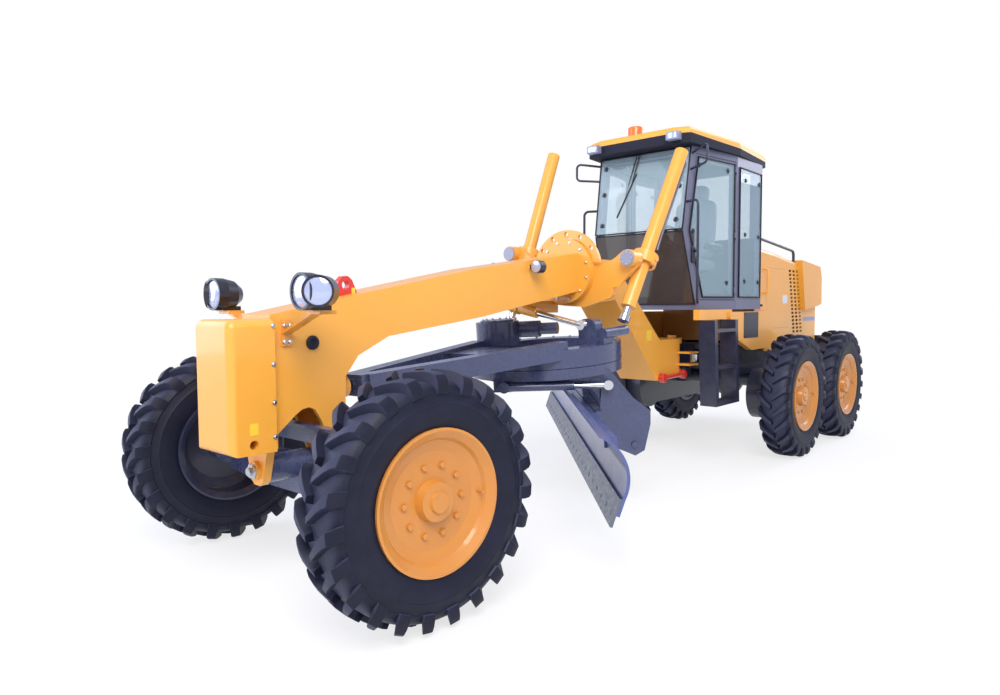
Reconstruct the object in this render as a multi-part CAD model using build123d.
"""Articulated motor grader with tandem rear axle, in millimetres.

While it is modelled, X points forward from the middle of the tandem, Y to the left and Z up from
the ground. At the end everything is moved so that the origin is in the rear tow pin's bore.
"""
import os
from math import atan, cos, pi, radians, sin, sqrt
from build123d import *

# Running gear
WHEELBASE = 5780
TANDEM_SPACING = 1436
TRACK = 2020
TYRE_RADIUS = 622
TYRE_HALF_WIDTH = 150
CARCASS_RADIUS = 576
CARCASS_FACETS = 26
LUGS_PER_SIDE = 13
RIM_RADIUS = 352
RIM_HALF_WIDTH = 136
BEAD_RADIUS = 318
STEER_REST = -5.7
KINGPIN_Y = 790
LEAN_PIN_Y = 700
LEAN_PIN_Z = 575
AXLE_PIN_Z = 653
LEAN_BAR_Z = 832
STEER_ARM = 210
STEER_ARM_Z = 643
TIE_ROD_Z = 565

# Articulation between the frames
HINGE_X = 1400
HINGE_LUG_RADIUS = 100
HINGE_PIN_RADIUS = 45
HINGE_TOP = 1210
HINGE_BOTTOM = 825
ARTIC_EYE = (1500, 300, 1015)
ARTIC_ANCHOR = (640, 320, 1015)

# Front frame
NOSE_FRONT = 6340
NOSE_REAR = 6085
NOSE_HALF = 188
BOOM_HALF = 140
BOOM_END = 3290
SADDLE_Z = 1830
SADDLE_FRONT = 3235
SADDLE_BACK = 3020
SADDLE_ROLL = -4.5
FLANGE_RADIUS = 270
INDEX_RADIUS = 340
GIRDER_HALF = 200

# Blade lift
LIFT_EYE_X = -2228
LIFT_EYE_Z = 190
YOKE_X = 3041
YOKE_Y = 603
YOKE_RISE = 127
LIFT_BARREL_RADIUS = 57
LIFT_ROD_RADIUS = 30
LIFT_TOP = 1045
LIFT_GLAND = 430
LIFT_STROKE_START = -900

# Drawbar, tilted as it is parked, about its ball
BALL = (5510, 0, 1062)
BALL_RADIUS = 45
DRAWBAR_PITCH = 4.0
DRAWBAR_ROLL = 1.15
CIRCLE_X = -1964
CIRCLE_RADIUS = 610
RING_TOP = 38
RING_BOTTOM = -98
CIRCLE_TOP = -103
CIRCLE_BOTTOM = -209
POST_X = 15
SHIFT_PIVOT = (3565, -190, 1530)
SHIFT_TRUNNION = 30

# Blade, in the circle's own frame: S along the blade, T to its back
BLADE_ANGLE = 43
BLADE_LENGTH = 3710
BLADE_SHIFT = 136
ARM_S = 435
ARM_THICK = 30
TILT_PIVOT = (591, -723)
TILT_EYE = (404, -250)
TILT_ANCHOR = (-366, -218)
TILT_CYLINDER_S = 530

# Cab
CAB_FLOOR = 1545
CAB_WAIST = 2230
CAB_TOP = 3005
CAB_B_X = 1245
CAB_B_Y = 615
CAB_REAR_X = 615
CAB_TAPER = 0.17
CAB_FRONT_FLOOR_X = 1904
CAB_WAIST_X = 2112
CAB_FRONT_TOP_X = 1984
DOOR_OUTLINE = [(CAB_FRONT_FLOOR_X - CAB_B_X, CAB_FLOOR), (CAB_WAIST_X - CAB_B_X, CAB_WAIST),
                (CAB_FRONT_TOP_X - CAB_B_X, CAB_TOP), (0, CAB_TOP), (0, CAB_FLOOR)]

# Rear frame
RAIL_INNER = 400
RAIL_OUTER = 470
HOOD_HALF = 540
HOOD_FRONT = 590
HOOD_REAR = -752
COWL_REAR = -1500
COWL_HALF = 590

# Vents in the hood's sides, counted from the top front slot
VENT_FRONT = -439
VENT_TOP = 1944
VENT_LEAN = 0.232
VENT_COLUMNS = 3
VENT_COLUMN_PITCH = 124
VENT_ROWS = 17
VENT_ROW_PITCH = 45
VENT_LONG = 78
VENT_HIGH = 27

# Tow hitch
HITCH_X = -1640
HITCH_Z = 640
HITCH_BORE_RADIUS = 22

OUT = "parts"
TO_HITCH = Location((-HITCH_X, 0, -HITCH_Z))


def block(x_from, x_to, y_from, y_to, z_from, z_to):
    """Box between two corners."""
    size = (x_to - x_from, y_to - y_from, z_to - z_from)
    centre = ((x_from + x_to) / 2, (y_from + y_to) / 2, (z_from + z_to) / 2)
    return Pos(*centre) * Box(*size)


def side_plate(points, y_from, y_to):
    """Outline in X and Z, thick along Y."""
    face = make_face(Polyline(*points, close=True))
    return extrude(Plane.XZ.offset(-y_from) * face, amount=-(y_to - y_from))


def cross_plate(points, x_from, x_to):
    """Outline in Y and Z, thick along X."""
    face = make_face(Polyline(*points, close=True))
    return extrude(Plane.YZ.offset(x_from) * face, amount=x_to - x_from)


def flat_plate(points, z_from, z_to):
    """Outline in X and Y, thick along Z."""
    face = make_face(Polyline(*points, close=True))
    return extrude(Plane.XY.offset(z_from) * face, amount=z_to - z_from)


def bar(start, end, radius):
    """Round bar between two points."""
    line = Vector(*end) - Vector(*start)
    plane = Plane(origin=start, z_dir=line)
    return extrude(plane * Circle(radius), amount=line.length)


def sleeve(start, end, outer, inner):
    """Round tube between two points."""
    line = Vector(*end) - Vector(*start)
    plane = Plane(origin=start, z_dir=line)
    return extrude(plane * (Circle(outer) - Circle(inner)), amount=line.length)


def square_bar(start, end, width, height):
    """Rectangular bar between two points, its height as upright as it can be."""
    line = Vector(*end) - Vector(*start)
    across = Vector(0, 0, 1).cross(line)
    plane = Plane(origin=start, x_dir=across, z_dir=line)
    return extrude(plane * Rectangle(width, height), amount=line.length)


def pane(corners, thickness):
    """Flat sheet on four points, thick towards the front."""
    face = make_face(Polyline(*corners, close=True)).face()
    return extrude(face, amount=thickness if face.normal_at().X > 0 else -thickness)


def bent_tube(points, radius, bend):
    """Round tube along a path with rounded corners."""
    path = FilletPolyline(*points, radius=bend)
    start = Plane(origin=points[0], z_dir=Vector(*points[1]) - Vector(*points[0]))
    return sweep(start * Circle(radius), path=path)


def turned(profile, axis=Axis.Y):
    """Solid of revolution from radius and offset pairs."""
    return revolve(make_face(Polyline(*profile, close=True)), axis, 360)


def both_sides(part):
    """The part and its mirror image on the right."""
    return Compound(children=[part, mirror(part, about=Plane.XZ)])


def write(name, *pieces):
    """Write one sub-part, moved so that the origin is in the tow pin's bore."""
    solids = []
    for piece in pieces:
        if not piece.solids():
            raise ValueError(name + " is empty")
        solids.extend(piece.solids())
    moved = [solid.moved(TO_HITCH) for solid in solids]
    shape = moved[0] if len(moved) == 1 else Compound(children=moved)
    export_step(shape, os.path.join(OUT, name + ".step"))


# Wheels

def facet_disc(*rings):
    """Solid between polygons across the wheel's axis, given as offset and corner radius."""
    sections = []
    for offset, radius in rings:
        plane = Plane(origin=(0, offset, 0), x_dir=(0, 0, -1), z_dir=(0, 1, 0))
        sections.append(plane * RegularPolygon(radius, CARCASS_FACETS, rotation=180 / CARCASS_FACETS))
    return loft(sections, ruled=True)


def tread_lug():
    """One lug of the left row at the tyre's foot: long, slanted back and lower at the shoulder."""
    sections = []
    for offset, heel, toe, low, high in ((4, -20, 24, 560, TYRE_RADIUS), (147, 58, 120, 480, 598)):
        plane = Plane(origin=(0, offset, 0), x_dir=(1, 0, 0), z_dir=(0, 1, 0))
        corners = [(heel, -low), (toe, -low), (toe, -high), (heel, -high)]
        sections.append(plane * make_face(Polyline(*corners, close=True)))
    return loft(sections, ruled=True)


def tyre():
    """Tyre on its own axis, with two rows of lugs half a pitch apart."""
    half = facet_disc((0, CARCASS_RADIUS), (116, CARCASS_RADIUS))
    half += facet_disc((116, CARCASS_RADIUS), (TYRE_HALF_WIDTH, 470))
    half -= facet_disc((90, BEAD_RADIUS - 40), (TYRE_HALF_WIDTH, 470))
    body = half + mirror(half, about=Plane.XZ)
    bore = (BEAD_RADIUS + 5) / cos(pi / CARCASS_FACETS)
    body -= facet_disc((-160, bore), (160, bore))
    lug = tread_lug()
    opposite = mirror(lug, about=Plane.XZ)
    pitch = 360 / LUGS_PER_SIDE
    for index in range(LUGS_PER_SIDE):
        body += Rot(0, pitch * index, 0) * lug
        body += Rot(0, pitch * (index + 0.5), 0) * opposite
    return body


def rim():
    """Dished steel disc wheel with a capped hub that stands proud of the disc."""
    outer = [(RIM_RADIUS, RIM_HALF_WIDTH), (RIM_RADIUS, 122), (320, 104), (BEAD_RADIUS, 20)]
    outer += [(320, -104), (RIM_RADIUS, -122), (RIM_RADIUS, -RIM_HALF_WIDTH)]
    inner = [(338, -RIM_HALF_WIDTH), (304, -112), (300, 24), (236, 50), (60, 50), (60, 96), (0, 96), (0, 134)]
    inner += [(48, 134), (54, 120), (92, 116), (104, 72), (238, 72), (290, 92), (302, 110), (338, RIM_HALF_WIDTH)]
    return turned(outer + inner)


def wheel_place(front, x, side):
    """Location of a wheel's middle, its axis pointing outboard along Y."""
    flip = Location() if side > 0 else Location((0, 0, 0), (0, 0, 180))
    place = Location((x, side * TRACK / 2, TYRE_RADIUS)) * flip
    if not front:
        return place
    kingpin = Location((x, side * KINGPIN_Y, 0))
    return kingpin * Location((0, 0, 0), (0, 0, STEER_REST)) * kingpin.inverse() * place


# Front axle

def front_axle():
    """Hollow beam with a centre sleeve and forked ends for the lean pins."""
    outline = [(-610, 500), (-420, 482), (420, 482), (610, 500), (610, 650), (420, 668), (-420, 668), (-610, 650)]
    beam = cross_plate(outline, WHEELBASE - 80, WHEELBASE + 80)
    sleeve_body = bar((WHEELBASE - 130, 0, AXLE_PIN_Z), (NOSE_REAR - 36, 0, AXLE_PIN_Z), 78)
    parts = beam + sleeve_body
    for side in (1, -1):
        for x_from in (WHEELBASE - 80, WHEELBASE + 50):
            ear = [(600, 500), (750, 520), (750, 598), (700, 606), (600, 614)]
            parts += cross_plate([(side * y, z) for y, z in ear], x_from, x_from + 30)
    return parts - bar((WHEELBASE - 200, 0, AXLE_PIN_Z), (NOSE_REAR, 0, AXLE_PIN_Z), 36)


def lean_yoke(side):
    """Upright that leans on the axle's end pin and holds the kingpin."""
    y = side * LEAN_PIN_Y
    foot = bar((WHEELBASE - 48, y, LEAN_PIN_Z), (WHEELBASE + 48, y, LEAN_PIN_Z), 42)
    web_y = (min(side * 690, side * 738), max(side * 690, side * 738))
    web = block(WHEELBASE - 8, WHEELBASE + 46, *web_y, 505, 735)
    head = cross_plate([(side * 640, 720), (side * 745, 720), (side * 745, 790), (side * 700, 872), (side * 640, 872)],
                       WHEELBASE - 30, WHEELBASE + 30)
    part = foot + web + head
    arm_y = (min(side * 700, side * KINGPIN_Y), max(side * 700, side * KINGPIN_Y))
    for z_from, z_to in ((500, 548), (692, 740)):
        part += bar((WHEELBASE, side * KINGPIN_Y, z_from), (WHEELBASE, side * KINGPIN_Y, z_to), 46)
        part += block(WHEELBASE - 36, WHEELBASE + 46, *arm_y, z_from, z_to)
    return part


def knuckle(side):
    """Hub carrier on the kingpin, with its spindle and steering arm."""
    y = side * KINGPIN_Y
    body = bar((WHEELBASE, y, 555), (WHEELBASE, y, 685), 44)
    neck = block(WHEELBASE - 40, WHEELBASE + 40, min(y, side * 850), max(y, side * 850), 570, 674)
    spindle = bar((WHEELBASE, side * 840, TYRE_RADIUS), (WHEELBASE, side * (TRACK / 2 + 48), TYRE_RADIUS), 56)
    flange = bar((WHEELBASE, side * 930, TYRE_RADIUS), (WHEELBASE, side * (TRACK / 2 + 48), TYRE_RADIUS), 110)
    arm_end = (WHEELBASE - STEER_ARM, y)
    arm = square_bar((WHEELBASE - 20, y, STEER_ARM_Z), (*arm_end, STEER_ARM_Z), 36, 36)
    ball = bar((*arm_end, STEER_ARM_Z - 18), (*arm_end, STEER_ARM_Z + 18), 28)
    part = body + neck + spindle + flange + arm + ball
    turn = Location((WHEELBASE, y, 0)) * Location((0, 0, 0), (0, 0, STEER_REST)) * Location((-WHEELBASE, -y, 0))
    return turn * part


def tie_rod():
    """Rod between the two steering arms, behind the axle."""
    x = WHEELBASE - STEER_ARM * cos(radians(STEER_REST))
    shift = STEER_ARM * sin(radians(-STEER_REST))
    low = TIE_ROD_Z - 17
    rod = bar((x, shift - KINGPIN_Y, TIE_ROD_Z), (x, shift + KINGPIN_Y, TIE_ROD_Z), 17)
    for side in (1, -1):
        rod += bar((x, shift + side * KINGPIN_Y, low), (x, shift + side * KINGPIN_Y, low + 30), 28)
    return rod


def lean_bar():
    """Bar that ties the tops of the two lean yokes."""
    web = block(WHEELBASE + 36, WHEELBASE + 62, -700, 700, 780, 885)
    flange = block(WHEELBASE + 62, WHEELBASE + 100, -640, 640, 870, 885)
    return web + flange


# Front frame

def nose_box():
    """Rounded counterweight box, with tie-down holes through both cheeks."""
    body = block(NOSE_REAR, NOSE_FRONT, -NOSE_HALF, NOSE_HALF, 780, 1475)
    along = body.edges().filter_by(Axis.X).sort_by(Axis.Z)
    body = fillet(along[2:], 50)
    body = fillet(body.faces().sort_by(Axis.X)[-1].edges(), 40)
    return body - bar((6214, -300, 831), (6214, 300, 831), 25)


def boom():
    """Nose plates, straight box beam with its flange, and the rear leg down to the hinge."""
    top = [(NOSE_REAR, 1498), (5435, 1625), (4466, 1806), (BOOM_END, 1970)]
    under = [(BOOM_END, 1659), (4440, 1466), (5284, 1359), (5516, 1253), (5607, 1139), (5612, 1030)]
    foot = [(5605, 640), (5650, 590), (5700, 700), (5775, 897), (5815, 965), (5851, 985), (5900, 978)]
    rest = [(5948, 946), (6052, 860), (NOSE_REAR, 850)]
    beam = side_plate(top + under + foot + rest, -BOOM_HALF, BOOM_HALF)
    beam += bar((SADDLE_FRONT, 0, SADDLE_Z), (BOOM_END + 12, 0, SADDLE_Z), FLANGE_RADIUS)
    beam += ball_socket()
    inside = [(NOSE_REAR - 40, 500), (NOSE_REAR - 40, 1440), (5640, 1500), (5640, 500)]
    beam -= side_plate(inside, -BOOM_HALF + 28, BOOM_HALF - 28)
    beam += cross_plate([(-90, 980), (-90, 653), (-45, 575), (45, 575), (90, 653), (90, 980)], 5605, 5640)
    beam += cross_plate([(-110, 780), (-60, 600), (-30, 572), (30, 572), (60, 600), (110, 780)], 6052, 6100)
    beam += cross_plate([(-130, 780), (130, 780), (130, 900), (-130, 900)], NOSE_REAR - 40, NOSE_REAR)
    beam += bar((5590, 0, AXLE_PIN_Z), (6118, 0, AXLE_PIN_Z), 35)
    beam += bar((6100, 0, AXLE_PIN_Z), (6122, 0, AXLE_PIN_Z), 52)
    for side in (1, -1):
        beam += work_lamp(side)
    return beam


def work_lamp(side):
    """Round lamp on a short bracket at the beam's side, aimed at the blade."""
    foot = block(3890, 3930, min(side * 130, side * 200), max(side * 130, side * 200), 1815, 1850)
    shell = bar((3870, side * 215, 1832), (3935, side * 215, 1832), 48)
    return foot + shell


def ball_socket():
    """Cup in front of the drawbar's ball, on the rear wall of the nose."""
    cup = BALL_RADIUS + 0.5
    depth = 8
    mouth = (depth, sqrt(cup * cup - depth * depth))
    wall = Polyline((cup, 0), (120, 0), (120, 66), (depth, 66), mouth)
    hollow = ThreePointArc(mouth, (cup * cos(radians(40)), cup * sin(radians(40))), (cup, 0))
    return Location(BALL) * revolve(make_face(wall + hollow), Axis.X, 360)


def boom_leg():
    """Deep box behind the saddle that drops to the articulation hinge."""
    outline = [(SADDLE_BACK, 1930), (2850, 1930), (2020, HINGE_TOP), (1620, HINGE_TOP)]
    outline += [(1620, HINGE_BOTTOM), (2080, HINGE_BOTTOM), (2816, 1593), (SADDLE_BACK, 1570)]
    leg = side_plate(outline, -GIRDER_HALF, GIRDER_HALF)
    neck = block(SADDLE_BACK, 3100, -150, 150, 1640, 1920)
    leg += neck
    for z_from, z_to in ((HINGE_BOTTOM, 885), (1150, HINGE_TOP)):
        lug = flat_plate([(1640, -190), (HINGE_X + 20, -98), (HINGE_X + 20, 98), (1640, 190)], z_from, z_to)
        lug += Pos(HINGE_X, 0, z_from) * extrude(Circle(HINGE_LUG_RADIUS), amount=z_to - z_from)
        leg += lug
    leg += bar((HINGE_X, 0, HINGE_BOTTOM), (HINGE_X, 0, HINGE_TOP + 25), HINGE_PIN_RADIUS)
    for side in (1, -1):
        for z_from, z_to in ((946, 966), (1064, 1084)):
            y = side * ARTIC_EYE[1]
            outline = [(1660, side * 190), (1660, side * 330), (1500, side * 345), (1455, y), (1500, side * 258)]
            ear = flat_plate(outline + [(1600, side * 190)], z_from, z_to)
            leg += ear
    return leg


def saddle():
    """Cross arm with the bosses of the lift yokes, the index disc and the centre shift bracket."""
    half = [(0, 1930), (200, 1900), (370, 1905), (455, 1960), (520, 2015), (650, 2010), (672, 1935)]
    half += [(430, 1635), (200, 1545), (0, 1540)]
    outline = half + [(-y, z) for y, z in reversed(half[1:-1])]
    arm = cross_plate(outline, 3188, SADDLE_FRONT)
    core_half = [(0, 1925), (250, 1890), (330, 1820), (330, 1640), (180, 1560), (0, 1550)]
    core = cross_plate(core_half + [(-y, z) for y, z in reversed(core_half[1:-1])], SADDLE_BACK + 80, 3190)
    boss_z = SADDLE_Z + YOKE_RISE
    for side in (1, -1):
        y = side * YOKE_Y
        arm += bar((3172, y, boss_z), (3300, y, boss_z), 66)
        arm += bar((3300, y, boss_z), (3312, y, boss_z), 60)
    rolled = Location((0, 0, SADDLE_Z), (SADDLE_ROLL, 0, 0)) * (Location((0, 0, -SADDLE_Z)) * (arm + core))
    for side in (1, -1):
        rolled -= barrel_room(side)
    return rolled


def barrel_room(side):
    """Space behind the cross arm in which a lift barrel swings."""
    pivot, end = lift_frame(side)
    slope = (end.X - pivot.X) / (pivot.Z - end.Z)
    top = (pivot.X + 76, pivot.Z)
    low = (pivot.X + (pivot.Z - 1500) * slope + 76, 1500)
    outline = [top, low, (2900, 1500), (2900, pivot.Z)]
    return side_plate(outline, min(side * 440, side * 690), max(side * 440, side * 690))


def index_disc():
    """Upper half disc with the saddle's lock holes, in front of the cross arm."""
    disc = bar((SADDLE_FRONT, 0, SADDLE_Z), (SADDLE_FRONT + 30, 0, SADDLE_Z), INDEX_RADIUS)
    disc -= block(3200, 3300, -400, 400, 1400, SADDLE_Z + 60)
    disc -= bar((3200, 0, SADDLE_Z), (3300, 0, SADDLE_Z), FLANGE_RADIUS + 4)
    for angle in (36, 63, 90, 117, 144):
        y = 305 * cos(radians(angle))
        z = SADDLE_Z + 305 * sin(radians(angle))
        disc -= bar((3200, y, z), (3300, y, z), 20)
    return disc


def shift_bracket():
    """Arm under the saddle, with the bore for the centre shift barrel's trunnion."""
    outline = [(3180, 1585), (3180, 1484), (3560, 1484), (3560, 1576), (3240, 1585)]
    arm = side_plate(outline, -235, -145)
    return arm - bar((3480, *SHIFT_PIVOT[1:]), (3600, *SHIFT_PIVOT[1:]), SHIFT_TRUNNION + 0.05)


def lifting_eye():
    """Arched lifting plates on the boom behind the headlamps."""
    arch = [(5600, 1594), (5560, 1690), (5530, 1720), (5495, 1722), (5465, 1700), (5430, 1626)]
    plate = side_plate(arch, -22, 22)
    return plate - bar((5512, -60, 1668), (5512, 60, 1668), 26)


def headlamp(side):
    """Bullet lamp with its second lens turned outwards."""
    y = side * 454
    shell = [(0, 0), (45, 6), (80, 50), (94, 115), (94, 175), (82, 175), (82, 162), (0, 162)]
    body = Location((5925, y, 1614)) * Location((0, 0, 0), (0, 0, -90)) * turned(shell)
    aim = Vector(cos(radians(42)), side * sin(radians(42)), 0)
    start = Vector(5985, y + side * 30, 1614)
    body += bar(tuple(start), tuple(start + aim * 118), 80)
    body -= bar(tuple(start + aim * 108), tuple(start + aim * 120), 70)
    return body + block(5945, 6055, y - 40, y + 40, 1515, 1545)


def headlamp_bracket(side):
    """Flat arm from the nose plate to under the lamp."""
    y = side * 454
    foot = block(5960, 6020, min(side * 140, side * 152), max(side * 140, side * 152), 1330, 1470)
    arm = square_bar((5990, side * 146, 1400), (5990, side * 420, 1505), 60, 14)
    shelf = block(5930, 6030, min(side * 400, y + side * 60), max(side * 400, y + side * 60), 1500, 1520)
    return foot + arm + shelf


# Blade lift

def lift_frame(side):
    """Yoke pin point and rod end of one lift cylinder."""
    angle = radians(SADDLE_ROLL)
    y = side * YOKE_Y * cos(angle) - YOKE_RISE * sin(angle)
    z = SADDLE_Z + side * YOKE_Y * sin(angle) + YOKE_RISE * cos(angle)
    low = drawbar_pose() * Location((LIFT_EYE_X, side * 580, LIFT_EYE_Z))
    return Vector(YOKE_X, y, z), low.position


def drawbar_pose():
    """Location of the drawbar's own frame, with its origin at the ball."""
    return Location(BALL) * Location((0, 0, 0), (0, DRAWBAR_PITCH, 0)) * Location((0, 0, 0), (DRAWBAR_ROLL, 0, 0))


def circle_pose():
    """Location of the circle's frame: X along the blade to its left end, Y to its back."""
    return drawbar_pose() * Location((CIRCLE_X, 0, 0), (0, 0, BLADE_ANGLE))


def cylinder_plane(pivot, end):
    """Plane at the pivot with Z towards the rod's end."""
    return Plane(origin=pivot, z_dir=end - pivot)


def lift_yoke(side):
    """Fork around the barrel that swings on the boss's forward pin."""
    pivot, end = lift_frame(side)
    plane = cylinder_plane(pivot, end)
    ring = extrude(plane.offset(-45) * (Circle(104) - Circle(LIFT_BARREL_RADIUS + 26)), amount=90)
    pin = bar((pivot.X + 90, pivot.Y, pivot.Z), (3160, pivot.Y, pivot.Z), 45)
    trunnion = bar((pivot.X, pivot.Y - 116, pivot.Z), (pivot.X, pivot.Y + 116, pivot.Z), 24)
    trunnion -= extrude(plane.offset(-60) * Circle(LIFT_BARREL_RADIUS + 26), amount=120)
    return ring + pin + trunnion


def lift_barrel(side):
    """Cylinder barrel with its trunnion collar."""
    pivot, end = lift_frame(side)
    plane = cylinder_plane(pivot, end)
    tube = extrude(plane.offset(-LIFT_TOP) * Circle(LIFT_BARREL_RADIUS), amount=LIFT_TOP + LIFT_GLAND)
    collar = extrude(plane.offset(-28) * Circle(LIFT_BARREL_RADIUS + 13), amount=56)
    bore = extrude(plane.offset(LIFT_STROKE_START - 60) * Circle(LIFT_ROD_RADIUS + 0.5), amount=LIFT_GLAND - LIFT_STROKE_START + 90)
    return tube + collar - bore


def lift_rod(side):
    """Piston rod with its ball cap."""
    pivot, end = lift_frame(side)
    plane = cylinder_plane(pivot, end)
    length = (end - pivot).length
    rod = extrude(plane.offset(LIFT_STROKE_START) * Circle(LIFT_ROD_RADIUS), amount=length - LIFT_STROKE_START)
    cap = extrude(plane.offset(length - 50) * Circle(46), amount=50)
    return rod + cap


# Drawbar and circle

def drawbar():
    """A-frame from the ball to the deep ring that carries the circle."""
    head = block(-190, -52, -95, 95, -70, 62)
    beams = []
    for side in (1, -1):
        start = (-110, side * 60, -4)
        end = (-1640, side * 420, 30)
        beams.append(square_bar(start, end, 120, 130))
    neck = bar((-60, 0, 0), (-34, 0, 0), 34) - Sphere(BALL_RADIUS + 0.5)
    ring = Pos(CIRCLE_X, 0, RING_BOTTOM) * extrude(Circle(CIRCLE_RADIUS) - Circle(440), amount=RING_TOP - RING_BOTTOM)
    plate = flat_plate([(-1100, -290), (-1100, 290), (-1500, 400), (-1500, -400)], 20, RING_TOP + 20)
    part = head + neck + beams[0] + beams[1] + ring + plate
    for side in (1, -1):
        part += lift_stub(side)
    return part


def lift_stub(side):
    """Bracket on the ring with the round stub under a lift rod."""
    stub = bar((CIRCLE_X - 0, side * 560, 118), (LIFT_EYE_X - 30, side * 578, 118), 40)
    foot = block(CIRCLE_X - 110, CIRCLE_X + 20, side * 520 - 60, side * 520 + 60, RING_TOP - 4, 150)
    return stub + foot


def shift_post():
    """Post on the ring that the centre shift rod pulls."""
    post = block(CIRCLE_X - 50, CIRCLE_X + POST_X + 30, 370, 530, RING_TOP - 2, 235)
    edges = post.edges().filter_by(Axis.X).sort_by(Axis.Z)[-2:]
    return fillet(edges, 60)


def circle_drive():
    """Drum gearbox with its worm motor, on the ring's right half."""
    place = Location((CIRCLE_X + 90, -420, RING_TOP))
    drum = extrude(Circle(180), amount=190)
    lid = Pos(0, 0, 190) * extrude(Circle(140), amount=15)
    worm = bar((-120, 120, 112), (-190, 300, 112), 68)
    motor = bar((-190, 300, 112), (-245, 442, 112), 48)
    return place * (drum + lid + worm + motor)


def drawbar_ball():
    """Ball of the drawbar's front joint."""
    return Location(BALL) * Sphere(BALL_RADIUS)


def circle():
    """Turning ring with the two side arms that carry the blade."""
    section = [(450, CIRCLE_BOTTOM), (500, CIRCLE_BOTTOM), (500, -180), (CIRCLE_RADIUS - 4, -180)]
    section += [(CIRCLE_RADIUS - 4, CIRCLE_TOP), (450, CIRCLE_TOP)]
    ring = revolve(Plane.XZ * make_face(Polyline(*section, close=True)), Axis.Z, 360)
    outline = [(-412, CIRCLE_BOTTOM + 60), (-440, -160), (-440, -262), (-320, -268), (0, -240), (300, -290)]
    outline += [(480, -560), (530, -760), (570, -805), (612, -805), (650, -760), (688, -600)]
    outline += [(640, -420), (430, -140)]
    part = ring
    for side in (1, -1):
        s_from = side * ARM_S - ARM_THICK / 2
        part += cross_plate(outline, s_from, s_from + ARM_THICK)
    for side in (1, -1):
        part += bar((side * (ARM_S + 15), *TILT_PIVOT), (side * (ARM_S + 64), *TILT_PIVOT), 24)
        part += bar((side * (ARM_S + 10), *TILT_ANCHOR), (side * (TILT_CYLINDER_S - 30), *TILT_ANCHOR), 24)
    return part


def tilt_bracket():
    """Pair of slotted side plates outside the arms, tied by the blade's rail carriers."""
    outline = [(360, -300), (360, -232), (430, -225), (723, -476), (719, -576), (665, -775)]
    outline += [(592, -812), (530, -780), (400, -720), (345, -690), (345, -420)]
    parts = None
    for side in (1, -1):
        s_from = side * (ARM_S + 34) - 12
        plate = cross_plate(outline, s_from, s_from + 24)
        plate -= bar((s_from - 5, TILT_PIVOT[0], TILT_PIVOT[1]), (s_from + 30, TILT_PIVOT[0], TILT_PIVOT[1]), 25)
        parts = plate if parts is None else parts + plate
    for t_from, t_to, z_from, z_to in ((290, 345, -500, -430), (290, 345, -700, -630)):
        parts += block(-600, 600, t_from, t_to, z_from, z_to)
    for side in (1, -1):
        s_from = side * (ARM_S + 34) - 12
        parts += block(s_from, s_from + 24, 300, 350, -700, -430)
    return parts


def moldboard_curve():
    """Profile of the blade: front face and back face as arcs on a straight lower end."""
    low = (135, -789)
    joint = (196, -640)
    middle = (225, -490)
    top = (88, -295)
    return low, joint, middle, top


def moldboard():
    """Curved blade plate with its two rails on the back."""
    low, joint, middle, top = moldboard_curve()
    thick = 18
    front = Polyline((158, -733), joint)
    arc = ThreePointArc(joint, middle, top)
    back_top = (top[0] + 14, top[1] + 3)
    back_middle = (middle[0] + thick, middle[1] - 2)
    back_joint = (joint[0] + thick, joint[1] - 5)
    back_low = (158 + thick, -740)
    edge = Polyline(top, back_top)
    back_arc = ThreePointArc(back_top, back_middle, back_joint)
    foot = Polyline(back_joint, back_low, (158, -733))
    face = make_face(front + arc + edge + back_arc + foot)
    s_from = BLADE_SHIFT - BLADE_LENGTH / 2
    plate = extrude(Plane.YZ.offset(s_from) * face, amount=BLADE_LENGTH)
    for z_from, z_to in ((-495, -435), (-695, -635)):
        rail = block(s_from + 560, s_from + BLADE_LENGTH - 560, 205, 286, z_from, z_to)
        plate += rail
    return plate


def cutting_edge():
    """Bolted wear plate along the blade's foot."""
    outline = [(119, -789), (134, -795), (157, -735), (195, -641), (180, -635)]
    s_from = BLADE_SHIFT - BLADE_LENGTH / 2
    return cross_plate(outline, s_from, s_from + BLADE_LENGTH)


def tilt_cylinder():
    """Barrels and rods of the two blade tilt cylinders."""
    barrels = []
    rods = []
    for side in (1, -1):
        s = side * TILT_CYLINDER_S
        start = Vector(s, *TILT_ANCHOR)
        end = Vector(s, *TILT_EYE)
        line = (end - start).normalized()
        barrel = bar(tuple(start + line * 36), tuple(start + line * 520), 32)
        barrel += bar((s - 28, *TILT_ANCHOR), (s + 28, *TILT_ANCHOR), 40)
        barrel -= bar(tuple(start + line * 140), tuple(start + line * 530), 20.5)
        rod = bar(tuple(start + line * 305), tuple(end - line * 30), 20)
        rod += bar((s - 26, *TILT_EYE), (s + 26, *TILT_EYE), 36)
        barrels.append(barrel)
        rods.append(rod)
    return Compound(children=barrels), Compound(children=rods)


def tilt_lugs():
    """Pins of the tilt rods on the slotted plates."""
    lugs = []
    for side in (1, -1):
        s = side * (ARM_S + 46)
        lugs.append(bar((s, *TILT_EYE), (side * (TILT_CYLINDER_S - 28), *TILT_EYE), 22))
    return lugs


# Centre shift

def shift_end():
    """Rod end of the centre shift cylinder, in front of the post."""
    point = drawbar_pose() * Location((CIRCLE_X + 113, 450, 195))
    return point.position


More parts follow.
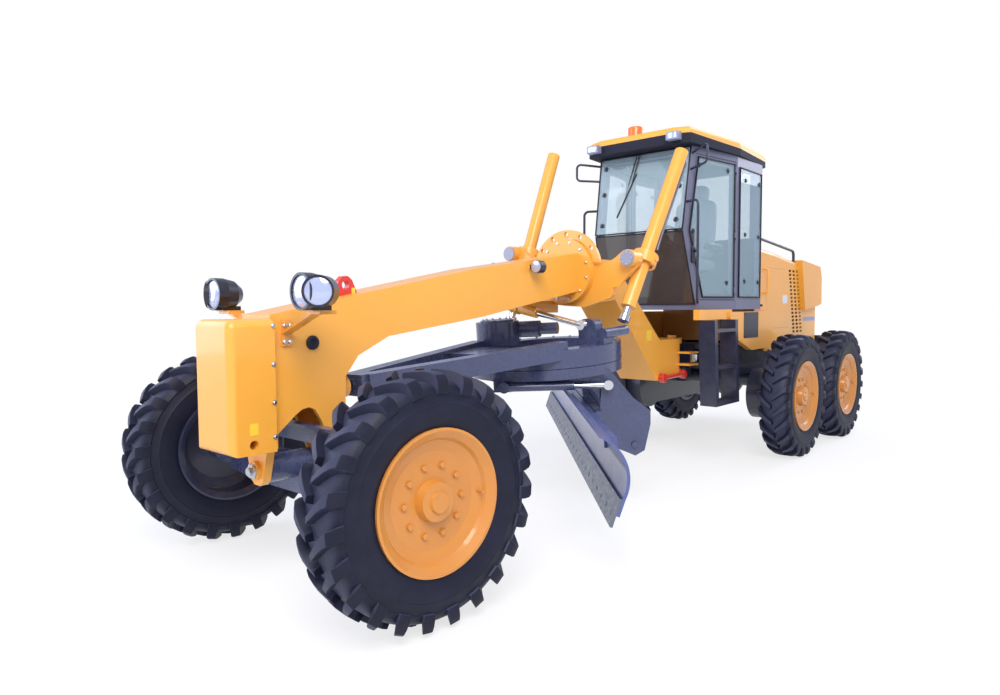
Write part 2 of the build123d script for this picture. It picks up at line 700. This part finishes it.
def shift_cylinder():
    """Barrel and rod of the centre shift cylinder."""
    end = shift_end()
    start = Vector(end.X, *SHIFT_PIVOT[1:])
    line = (end - start).normalized()
    barrel = bar(tuple(start - line * 235), tuple(start + line * 215), 42)
    barrel += bar(tuple(start - line * 35), tuple(start + line * 35), 52)
    barrel += bar((3490, start.Y, start.Z), tuple(start), SHIFT_TRUNNION)
    barrel -= bar(tuple(start - line * 231), tuple(start + line * 220), 22.5)
    rod = bar(tuple(start - line * 205), tuple(end), 22)
    rod += bar((end.X - 18, end.Y, end.Z), (end.X + 18, end.Y, end.Z), 38)
    return barrel, rod


# Articulation cylinders

def artic_cylinder(side):
    """Barrel and rod of one articulation cylinder."""
    start = Vector(ARTIC_ANCHOR[0], side * ARTIC_ANCHOR[1], ARTIC_ANCHOR[2])
    end = Vector(ARTIC_EYE[0], side * ARTIC_EYE[1], ARTIC_EYE[2])
    line = (end - start).normalized()
    barrel = bar(tuple(start + line * 30), tuple(start + line * 560), 42)
    barrel += bar((start.X, start.Y, start.Z - 38), (start.X, start.Y, start.Z + 38), 48)
    barrel -= bar((start.X, start.Y, start.Z - 50), (start.X, start.Y, start.Z + 50), 22.05)
    barrel -= bar(tuple(start + line * 80), tuple(start + line * 570), 24.5)
    rod = bar(tuple(start + line * 240), tuple(end - line * 40), 24)
    rod += bar((end.X, end.Y, end.Z - 38), (end.X, end.Y, end.Z + 38), 44)
    rod -= bar((end.X, end.Y, end.Z - 50), (end.X, end.Y, end.Z + 50), 30)
    return barrel, rod


# Rear frame

def rear_frame():
    """Side rails, cross members, hinge carrier and tow hitch."""
    parts = None
    for side in (1, -1):
        y_from = min(side * RAIL_INNER, side * RAIL_OUTER)
        rail = block(-1500, 1320, y_from, y_from + RAIL_OUTER - RAIL_INNER, 800, 1145)
        parts = rail if parts is None else parts + rail
    for x_from in (-1500, -560, 450):
        parts += block(x_from, x_from + 120, -RAIL_INNER, RAIL_INNER, 850, 1100)
    parts += block(-1560, -1500, -620, 620, 700, 1150)
    for z_from, z_to in ((890, 940), (1095, 1145)):
        carrier = flat_plate([(1290, -210), (1290, 210), (1200, RAIL_OUTER), (1000, RAIL_OUTER),
                              (1000, -RAIL_OUTER), (1200, -RAIL_OUTER)], z_from, z_to)
        parts += carrier
    parts += block(1100, 1290, -200, 200, 900, 1120)
    tube = sleeve((HINGE_X, 0, 890), (HINGE_X, 0, 1145), 95, HINGE_PIN_RADIUS + 0.05)
    web = block(1280, HINGE_X - 60, -80, 80, 895, 1140)
    parts += web
    parts -= bar((HINGE_X, 0, 800), (HINGE_X, 0, 1300), 90)
    parts += tube
    for side in (1, -1):
        for z_from, z_to in ((940, 966), (1064, 1095)):
            ear_y = sorted((side * (ARTIC_ANCHOR[1] - 60), side * (RAIL_INNER + 1)))
            parts += block(ARTIC_ANCHOR[0] - 60, ARTIC_ANCHOR[0] + 55, *ear_y, z_from, z_to)
        parts += bar((ARTIC_ANCHOR[0], side * ARTIC_ANCHOR[1], 945), (ARTIC_ANCHOR[0], side * ARTIC_ANCHOR[1], 1090), 22)
    for z_from in (HITCH_Z - 60, HITCH_Z + 25):
        half = [(-1560, 120), (HITCH_X - 10, 60), (HITCH_X - 50, 30)]
        parts += flat_plate(half + [(x, -y) for x, y in reversed(half)], z_from, z_from + 35)
    parts += block(-1560, -1530, -130, 130, 560, 720)
    return parts - bar((HITCH_X, 0, 400), (HITCH_X, 0, 900), HITCH_BORE_RADIUS)


def tandem_case(side):
    """Chain case of one tandem, with round ends at the wheel spindles."""
    half = TANDEM_SPACING / 2
    inner, outer = side * 620, side * 790
    case = block(-half, half, min(inner, outer), max(inner, outer), 400, 850)
    for x in (half, -half):
        case += bar((x, inner, TYRE_RADIUS), (x, outer, TYRE_RADIUS), 262)
        case += bar((x, side * 790, TYRE_RADIUS), (x, side * (TRACK / 2 - 60), TYRE_RADIUS), 120)
        case += bar((x, side * 900, TYRE_RADIUS), (x, side * (TRACK / 2 + 49), TYRE_RADIUS), 58)
    return case


def rear_axle():
    """Drive axle housing across the rails, with the pivots of the tandems."""
    housing = bar((0, -665, 700), (0, 665, 700), 98)
    diff = Pos(0, 0, 660) * Sphere(185)
    saddle_blocks = [block(-150, 150, min(s * RAIL_INNER, s * RAIL_OUTER), max(s * RAIL_INNER, s * RAIL_OUTER), 700, 800)
                     for s in (1, -1)]
    return housing + diff + saddle_blocks[0] + saddle_blocks[1]


def engine_block():
    """Engine and gearbox as one plain block on the cross members."""
    return block(-700, 440, -300, 300, 1100, 1700) + block(200, 440, -220, 220, 860, 1110)


def hood():
    """Engine hood: bent top and side panels around the engine, with a lower body out to the rear."""
    outline = [(HOOD_FRONT, 1150), (HOOD_FRONT, 2160), (489, 2173), (0, 2140), (-400, 2095)]
    outline += [(HOOD_REAR, 2060), (-885, 1487), (-1418, 1544), (-1418, 1032), (300, 1032), (300, 1150)]
    outer = side_plate(outline, -HOOD_HALF, HOOD_HALF)
    edges = outer.edges().filter_by(lambda e: abs(abs(e.center().Y) - HOOD_HALF) < 1 and e.center().Z > 2065)
    outer = fillet(edges, 60)
    inner = [(HOOD_FRONT - 20, 1000), (HOOD_FRONT - 20, 2120), (489, 2125), (0, 2092), (-400, 2047)]
    inner += [(-720, 2015), (-853, 1458), (-1388, 1514), (-1388, 1000)]
    shell = outer - side_plate(inner, -HOOD_HALF + 30, HOOD_HALF - 30)
    shell -= block(-1430, -1370, -HOOD_HALF + 30, HOOD_HALF - 30, 1000, 1150)
    for side in (1, -1):
        for margin, depth in ((8.5, 4), (3, 40)):
            y = sorted((side * (HOOD_HALF - depth), side * (HOOD_HALF + 5)))
            shell -= side_plate(vent_field(margin), *y)
    return shell


def vent_field(margin):
    """Leaning outline round one side's vents, grown by a margin."""
    top = VENT_TOP + VENT_HIGH / 2 + margin
    low = VENT_TOP - (VENT_ROWS - 1) * VENT_ROW_PITCH - VENT_HIGH / 2 - margin
    front = VENT_FRONT + margin
    rear = VENT_FRONT - (VENT_COLUMNS - 1) * VENT_COLUMN_PITCH - VENT_LONG - margin
    corners = [(front, top), (front, low), (rear, low), (rear, top)]
    return [(x + VENT_LEAN * (z - VENT_TOP), z) for x, z in corners]


def vent_plate():
    """Left vent plate in the hood's recess, with its leaning columns of slots."""
    plate = side_plate(vent_field(8), HOOD_HALF - 4, HOOD_HALF)
    slots = []
    for row in range(VENT_ROWS):
        z = VENT_TOP - row * VENT_ROW_PITCH
        for column in range(VENT_COLUMNS):
            x = VENT_FRONT - column * VENT_COLUMN_PITCH - VENT_LEAN * (VENT_TOP - z)
            slots.append(block(x - VENT_LONG, x, 530, 545, z - VENT_HIGH / 2, z + VENT_HIGH / 2))
    return plate - slots


def rear_cowl():
    """Radiator cowl that stands out behind the hood."""
    outline = [(-745, 2083), (-890, 1480), (-1400, 1536), (-1508, 1560), (COWL_REAR, 1900), (-1440, 2028)]
    outer = side_plate(outline, -COWL_HALF, COWL_HALF)
    inner = [(-700, 2040), (-850, 1525), (-1465, 1590), (-1462, 1885), (-1418, 1985)]
    return outer - side_plate(inner, -HOOD_HALF + 4, HOOD_HALF - 4)


# Cab

def cab_side_point(x, z):
    """Point on the left cab wall ahead of the door's rear post."""
    return (x, CAB_B_Y - CAB_TAPER * (x - CAB_B_X), z)


def side_plane():
    """Vertical plane of the left door, with X forward along it."""
    angle = atan(CAB_TAPER)
    return Plane(origin=(CAB_B_X, CAB_B_Y, 0), x_dir=(cos(angle), -sin(angle), 0), z_dir=(-sin(angle), -cos(angle), 0))


def side_sheet(points, thickness, inset):
    """Plate in the door plane, from points along it and up, thick towards the inside."""
    plane = side_plane()
    local = [(x / cos(atan(CAB_TAPER)), z) for x, z in points]
    face = make_face(Polyline(*local, close=True))
    return extrude(plane.offset(inset) * face, amount=thickness)


def inset_outline(front, rear, low, top):
    """Door outline moved in from each of its edges."""
    points = DOOR_OUTLINE
    return [(points[0][0] - front, points[0][1] + low), (points[1][0] - front, points[1][1]),
            (points[2][0] - front, points[2][1] - top), (rear, points[3][1] - top), (rear, points[4][1] + low)]


def cab_frame():
    """Floor, posts, sills and headers of the cab."""
    flank = side_sheet(DOOR_OUTLINE, 50, 0) - side_sheet(inset_outline(70, 30, 45, 60), 60, -5)
    quarter_outer = [(CAB_REAR_X, CAB_FLOOR), (CAB_REAR_X, CAB_TOP), (CAB_B_X + 5, CAB_TOP), (CAB_B_X + 5, CAB_FLOOR)]
    quarter = side_plate(quarter_outer, CAB_B_Y - 50, CAB_B_Y)
    quarter -= block(CAB_REAR_X + 60, CAB_B_X - 60, CAB_B_Y - 60, CAB_B_Y + 10, 1640, 2885)
    left = flank + quarter
    right = mirror(left, about=Plane.XZ)
    rear = block(CAB_REAR_X, CAB_REAR_X + 50, -CAB_B_Y + 50, CAB_B_Y - 50, CAB_FLOOR, CAB_TOP)
    rear -= block(CAB_REAR_X - 10, CAB_REAR_X + 60, -CAB_B_Y + 110, CAB_B_Y - 110, 2250, CAB_TOP - 60)
    sill_y = cab_side_point(CAB_FRONT_FLOOR_X, 0)[1]
    half = [(CAB_REAR_X, CAB_B_Y), (CAB_B_X, CAB_B_Y), (CAB_FRONT_FLOOR_X, sill_y)]
    floor = flat_plate(half + [(x, -y) for x, y in reversed(half)], 1500, CAB_FLOOR)
    front_top = block(1925, 1984, -489, 489, CAB_TOP - 60, CAB_TOP)
    front_low = block(1850, 1904, -sill_y, sill_y, CAB_FLOOR, CAB_FLOOR + 45)
    return left + right + rear + floor + front_top + front_low


def front_corners(low_x, low_y, low_z, top_x, top_y, top_z):
    """Corners of a front pane, which is as wide as the cab at each edge."""
    return [(low_x, low_y, low_z), (top_x, top_y, top_z), (top_x, -top_y, top_z), (low_x, -low_y, low_z)]


def windscreens():
    """Lower and upper front panes, on the front of the posts."""
    low_y = cab_side_point(CAB_FRONT_FLOOR_X, 0)[1]
    mid_y = cab_side_point(CAB_WAIST_X, 0)[1]
    top_y = cab_side_point(CAB_FRONT_TOP_X, 0)[1]
    low = front_corners(CAB_FRONT_FLOOR_X + 4, low_y, CAB_FLOOR + 5, CAB_WAIST_X, mid_y, CAB_WAIST - 4)
    top = front_corners(CAB_WAIST_X + 2, mid_y, CAB_WAIST + 2, CAB_FRONT_TOP_X + 3, top_y, CAB_TOP - 4)
    return pane(low, 6), pane(top, 6)


def quarter_panes():
    """Fixed side panes and the rear pane."""
    side = block(CAB_REAR_X + 40, CAB_B_X - 40, CAB_B_Y, CAB_B_Y + 6, 1620, 2905)
    rear = block(CAB_REAR_X - 6, CAB_REAR_X, -CAB_B_Y + 90, CAB_B_Y - 90, 2230, CAB_TOP - 40)
    return side, mirror(side, about=Plane.XZ), rear


def door_leaf():
    """Left door frame inside the opening, with the knuckles of its hinges."""
    leaf = side_sheet(inset_outline(76, 36, 51, 66), 40, 2) - side_sheet(inset_outline(126, 86, 101, 116), 60, -5)
    plane = side_plane()
    for z in (1690, 2230, 2870):
        low = plane.from_local_coords((30, z - 45, -8))
        top = plane.from_local_coords((30, z + 45, -8))
        leaf += bar(tuple(low), tuple(top), 7.5)
        leaf += side_sheet([(33, z - 28), (57, z - 28), (57, z + 28), (33, z + 28)], 15, -12)
    return leaf


def door_pane():
    """Left door glass, on the outside of the leaf."""
    return side_sheet(inset_outline(100, 60, 75, 90), 5, -3)


def cab_roof():
    """Roof cap with rounded corners, over its dark base."""
    half = [(450, 600), (1245, 640), (2120, 545), (2180, 400)]
    base = flat_plate(half + [(x, -y) for x, y in reversed(half)], CAB_TOP, CAB_TOP + 90)
    cap_half = [(456, 591), (1239, 630), (2114, 537), (2174, 394)]
    cap = flat_plate(cap_half + [(x, -y) for x, y in reversed(cap_half)], CAB_TOP + 90, CAB_TOP + 150)
    base = fillet(base.edges().filter_by(Axis.Z).sort_by(Axis.X)[:2], 70)
    cap = fillet(cap.edges().filter_by(Axis.Z).sort_by(Axis.X)[:2], 65)
    return base, fillet(cap.faces().sort_by(Axis.Z)[-1].edges(), 35)


def seat():
    """Driver's seat on its pedestal."""
    pedestal = block(900, 1200, -150, 150, CAB_FLOOR, 1900)
    cushion = block(850, 1330, -240, 240, 1900, 2020)
    back = Location((880, 0, 2020)) * Location((0, 0, 0), (0, -8, 0)) * block(-60, 60, -230, 230, 0, 650)
    return pedestal + cushion + back


def console():
    """Steering column with its levers and wheel."""
    column = square_bar((1752, 0, CAB_FLOOR + 25), (1598, 0, 2150), 180, 160)
    column += block(1650, 1840, -100, 100, CAB_FLOOR, CAB_FLOOR + 60)
    wheel = Location((1568, 0, 2230)) * Location((0, 0, 0), (0, -35, 0)) * (Torus(190, 16))
    stem = bar((1603, 0, 2140), (1563, 0, 2236), 25)
    spoke = Location((1568, 0, 2230)) * Location((0, 0, 0), (0, -35, 0)) * block(-15, 15, -185, 185, -10, 10)
    return column + stem + wheel + spoke


# Outside of the rear body

def platforms():
    """Yellow skirts under the doors and beside the gearbox."""
    strip = block(1300, 2020, 540, 600, 1405, 1500)
    outline = [(300, 1476), (300, 1120), (369, 1081), (841, 1075), (1255, 1211), (1390, 1421), (1390, 1476)]
    return both_sides(strip + side_plate(outline, 560, 622))


def ladder():
    """Left steps on two hanging cheeks."""
    front = side_plate([(1960, 1405), (1900, 1405), (1840, 600), (1900, 600)], 560, 720)
    rear = side_plate([(1500, 1405), (1440, 1405), (1380, 600), (1440, 600)], 560, 720)
    steps = None
    for z, x in ((600, 1430), (945, 1450), (1290, 1480)):
        step = block(x - 15, x + 440, 560, 720, z, z + 30)
        steps = step if steps is None else steps + step
    return front + rear + steps


def handrail():
    """Left rail along the hood's top."""
    y = 500
    points = [(483, y, 2150), (483, y, 2280), (-703, y, 2190), (-703, y, 2040)]
    return bent_tube(points, 16, 60)


def grab_rail():
    """Left loop for a mirror, high on the cab's front post."""
    return bent_tube([(1965, 486, 2940), (2115, 700, 2975), (2115, 700, 2810), (1990, 484, 2790)], 11, 40)


def entry_rail():
    """Left long rail outboard of the cab's front post, from the window down to the floor."""
    return bent_tube([(2050, 478, 2490), (2105, 615, 2490), (2105, 615, 1630), (1860, 505, 1566)], 12, 45)


def roof_lamp(side):
    """Square work lamp at a front roof corner."""
    y = side * 425
    return block(2180, 2250, y - 60, y + 60, CAB_TOP + 20, CAB_TOP + 90)


def beacon():
    """Round warning beacon on the roof."""
    return Location((1900, -150, CAB_TOP + 150)) * Cylinder(70, 130, align=(Align.CENTER, Align.CENTER, Align.MIN))


def main():
    """Write every sub-part."""
    os.makedirs(OUT, exist_ok=True)
    drawbar_at = drawbar_pose()
    circle_at = circle_pose()
    wheels = [("front_left", True, WHEELBASE, 1), ("front_right", True, WHEELBASE, -1)]
    wheels += [("mid_left", False, TANDEM_SPACING / 2, 1), ("mid_right", False, TANDEM_SPACING / 2, -1)]
    wheels += [("rear_left", False, -TANDEM_SPACING / 2, 1), ("rear_right", False, -TANDEM_SPACING / 2, -1)]
    rubber = tyre()
    wheel = rim()
    for name, front, x, side in wheels:
        place = wheel_place(front, x, side)
        write("tyre_" + name, place * rubber)
        write("rim_" + name, place * wheel)
    write("front_axle", front_axle())
    for name, side in (("left", 1), ("right", -1)):
        write("lean_yoke_" + name, lean_yoke(side))
        write("knuckle_" + name, knuckle(side))
        write("lift_yoke_" + name, lift_yoke(side))
        write("lift_barrel_" + name, lift_barrel(side))
        write("lift_rod_" + name, lift_rod(side))
        barrel, rod = artic_cylinder(side)
        write("artic_barrel_" + name, barrel)
        write("artic_rod_" + name, rod)
    write("tie_rod", tie_rod())
    write("lean_bar", lean_bar())
    write("nose_box", nose_box())
    write("boom", boom(), boom_leg())
    write("saddle", saddle(), index_disc(), shift_bracket())
    write("lifting_eye", lifting_eye())
    write("headlamps", headlamp(1) + headlamp_bracket(1), headlamp(-1) + headlamp_bracket(-1))
    write("drawbar_ball", drawbar_ball())
    write("drawbar", drawbar_at * (drawbar() + shift_post() + circle_drive()))
    write("circle", circle_at * circle())
    lugs = tilt_lugs()
    write("tilt_bracket", circle_at * (tilt_bracket() + lugs[0] + lugs[1]))
    write("moldboard", circle_at * moldboard())
    write("cutting_edge", circle_at * cutting_edge())
    barrels, rods = tilt_cylinder()
    write("tilt_barrels", circle_at * barrels)
    write("tilt_rods", circle_at * rods)
    barrel, rod = shift_cylinder()
    write("shift_barrel", barrel)
    write("shift_rod", rod)
    write("rear_frame", rear_frame())
    write("tandem_axle", rear_axle() + tandem_case(1) + tandem_case(-1))
    write("engine_block", engine_block())
    write("hood", hood() + rear_cowl())
    write("hood_vents", vent_plate(), mirror(vent_plate(), about=Plane.XZ))
    write("cab_frame", cab_frame())
    write("cab_glass", *windscreens(), *quarter_panes())
    leaf = door_leaf()
    glass = door_pane()
    write("door_left", leaf)
    write("door_right", mirror(leaf, about=Plane.XZ))
    write("door_glass_left", glass)
    write("door_glass_right", mirror(glass, about=Plane.XZ))
    base, cap = cab_roof()
    write("cab_roof", base + cap)
    write("cab_interior", seat(), console())
    write("access_steps", platforms(), both_sides(ladder()))
    cab_posts = cab_frame()
    rails = [handrail() - hood(), grab_rail() - cab_posts, entry_rail() - cab_posts]
    write("handrails", *[both_sides(rail) for rail in rails])
    write("roof_lights", roof_lamp(1), roof_lamp(-1), beacon())


main()
